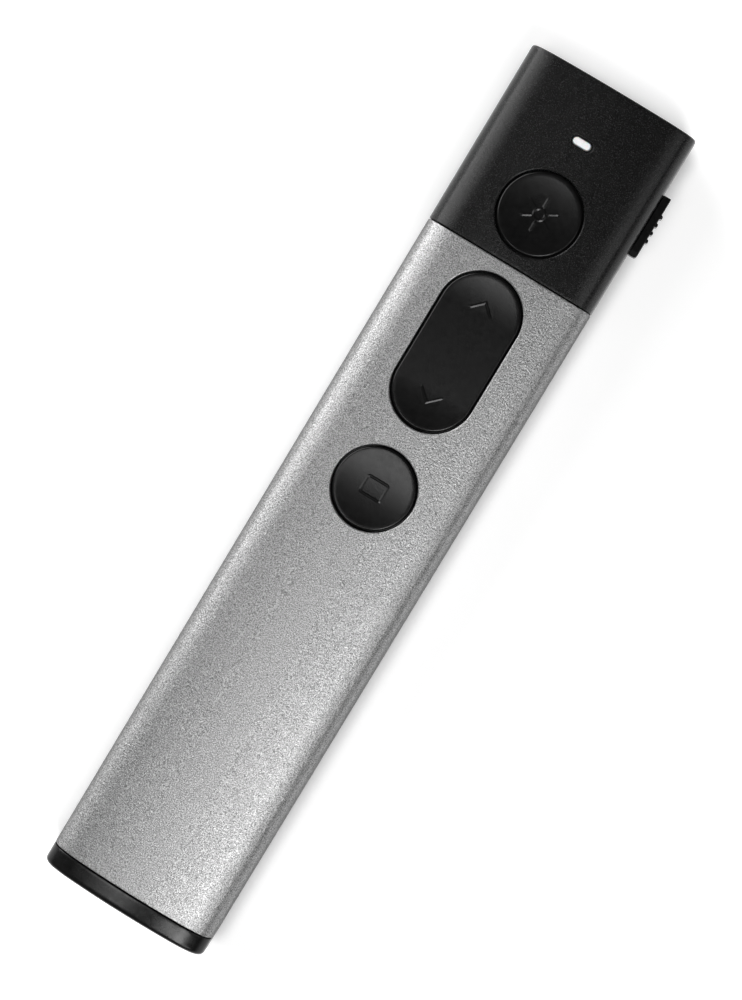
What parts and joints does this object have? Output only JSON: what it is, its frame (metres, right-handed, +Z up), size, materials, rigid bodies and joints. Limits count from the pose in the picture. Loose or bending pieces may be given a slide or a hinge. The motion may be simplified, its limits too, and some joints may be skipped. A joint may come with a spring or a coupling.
{
  "type": "wireless presenter with laser pointer",
  "caption": "Slim wireless presenter with a laser pointer: metal sleeve, black head with side power slide, dished thumb keys and a pull-off tail cap that stores its plug-in receiver.",
  "frame": {"origin": "middle of the flat underside, halfway along the body", "axes": "+Y along the body to the laser's end, +X to the side with the power slide, +Z up through the keys"},
  "size_m": [0.0273, 0.1324, 0.0131],
  "materials": {
    "sleeve_aluminium": "bead-blasted and anodised silver",
    "black_plastic": "finely textured black moulding",
    "satin_black": "satin black moulding",
    "gloss_black": "polished black moulding",
    "white_diffuser": "milky white",
    "clear_plastic": "clear, polished",
    "turned_brass": "turned brass",
    "plated_steel": "bright nickel plating",
    "spring_metal": "bright spring strip",
    "board_green": "green solder mask",
    "chip_black": "matt black epoxy",
    "battery_foil": "grey pouch foil",
    "cream_plastic": "natural nylon",
    "red_wire": "red insulation",
    "black_wire": "black insulation"
  },
  "bodies": {
    "housing": {"sleeve": "sleeve_aluminium", "head_shell": "black_plastic", "chassis_tray": "black_plastic", "key_frame": "black_plastic", "tail_frame": "black_plastic", "circuit_board": "board_green", "slide_switch": "plated_steel", "indicator_window": "white_diffuser", "laser_window": "clear_plastic", "laser_barrel": "turned_brass", "laser_lens": "clear_plastic", "laser_diode": "plated_steel", "laser_driver": "board_green", "status_led": "white_diffuser", "laser_dome": "spring_metal", "next_dome": "spring_metal", "previous_dome": "spring_metal", "screen_dome": "spring_metal", "controller_chip": "chip_black", "radio_crystal": "plated_steel", "chip_antenna": "white_diffuser", "charger_chip": "chip_black", "charging_port": "plated_steel", "port_tongue": "black_plastic", "battery_cell": "battery_foil", "battery_connector": "cream_plastic", "battery_lead_red": "red_wire", "battery_lead_black": "black_wire", "frame_screw_1": "plated_steel", "frame_screw_2": "plated_steel", "frame_screw_3": "plated_steel", "frame_screw_4": "plated_steel", "board_screw_left": "plated_steel", "board_screw_right": "plated_steel", "tail_screw_left": "plated_steel", "tail_screw_right": "plated_steel"},
    "laser_key": {"laser_button": "satin_black"},
    "page_rocker": {"rocker_key": "satin_black"},
    "screen_key": {"screen_button": "satin_black"},
    "power_slide": {"slide_knob": "satin_black", "slide_actuator": "black_plastic"},
    "tail_cap": {"end_cap": "gloss_black", "cap_magnet_left": "plated_steel", "cap_magnet_right": "plated_steel"},
    "receiver": {"receiver_grip": "gloss_black", "receiver_plug": "plated_steel", "receiver_tongue": "cream_plastic"}
  },
  "joints": [
    {"name": "laser_press", "type": "slide", "parent": "housing", "child": "laser_key", "axis": [0, 0, -1], "range_m": [0, 0.0003], "stiffness_N_per_m": 1000, "springref_m": -0.0005, "deforming": ["laser_dome"]},
    {"name": "rocker_tilt", "type": "hinge", "parent": "housing", "child": "page_rocker", "pos_m": [0, 0.0247, 0.01045], "axis": [1, 0, 0], "range_deg": [-2, 2], "stiffness_Nm_per_rad": 0.15, "deforming": ["next_dome", "previous_dome"]},
    {"name": "screen_press", "type": "slide", "parent": "housing", "child": "screen_key", "axis": [0, 0, -1], "range_m": [0, 0.0003], "stiffness_N_per_m": 1000, "springref_m": -0.0005, "deforming": ["screen_dome"]},
    {"name": "power_slide_move", "type": "slide", "parent": "housing", "child": "power_slide", "axis": [0, -1, 0], "range_m": [0, 0.002]},
    {"name": "cap_pull", "type": "slide", "parent": "housing", "child": "tail_cap", "axis": [0, -1, 0], "range_m": [0, 0.018]},
    {"name": "receiver_release", "type": "slide", "parent": "tail_cap", "child": "receiver", "axis": [0, 1, 0], "range_m": [0, 0.005]}
  ]
}
